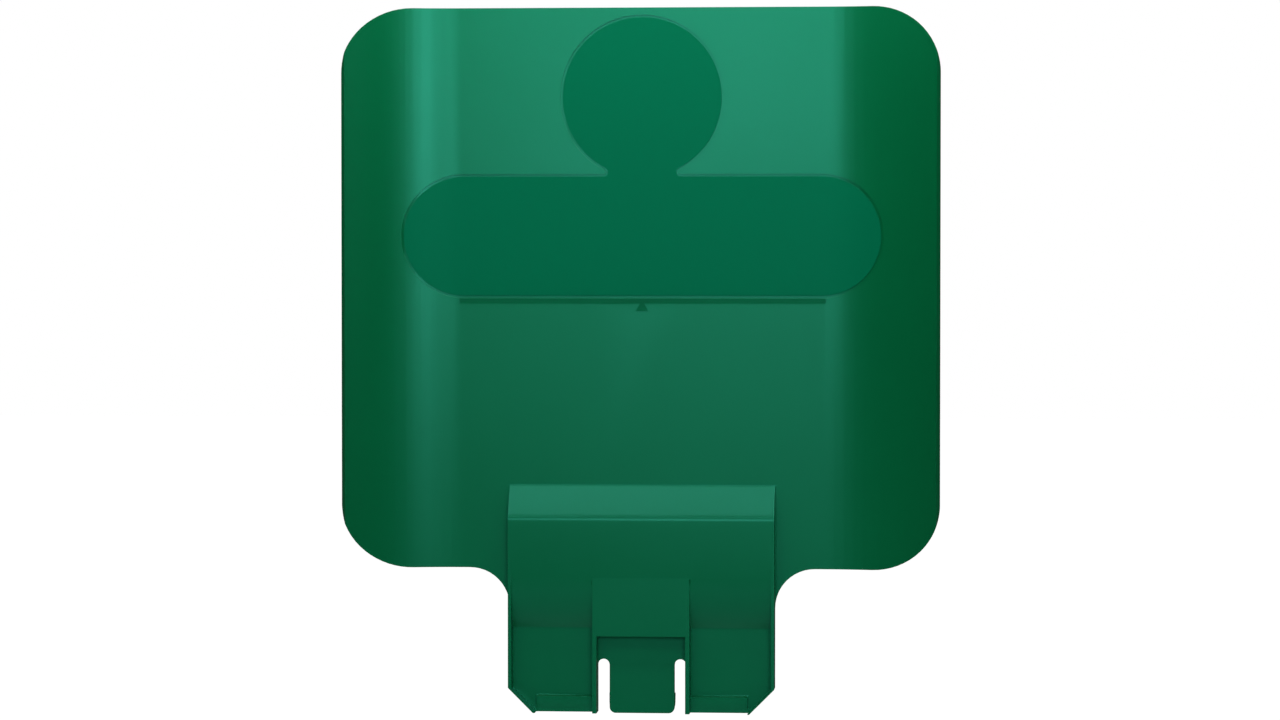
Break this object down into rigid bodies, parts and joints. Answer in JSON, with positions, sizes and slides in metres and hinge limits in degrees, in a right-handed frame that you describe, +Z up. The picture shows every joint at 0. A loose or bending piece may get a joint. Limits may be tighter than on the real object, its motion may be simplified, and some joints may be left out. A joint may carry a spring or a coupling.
{
  "type": "plug-in sign panel",
  "caption": "Upright green sign panel with forward-curved wings, a blank label recess and a plug bracket with a sprung snap finger for the lid or frame of a slim recycling bin.",
  "frame": {"origin": "on the centreline, on the flat back plane of the board and the plug, at the height of the board's lower edge, where the plug enters its socket", "axes": "+X to the right seen from the front, +Z up the board, -Y forward, the way the label faces"},
  "size_m": [0.29, 0.0238, 0.3439],
  "materials": {
    "panel_plastic": "fine satin texture, moulded through in green",
    "label_film": "smooth green film with no print"
  },
  "bodies": {
    "panel": {"sign_panel": "panel_plastic", "label_film": "label_film"},
    "finger": {"latch_finger": "panel_plastic"}
  },
  "joints": [
    {"name": "finger_flex", "type": "hinge", "parent": "panel", "child": "finger", "pos_m": [0, -0.0018, -0.04725], "axis": [-1, 0, 0], "range_deg": [0, 8], "stiffness_Nm_per_rad": 4}
  ]
}
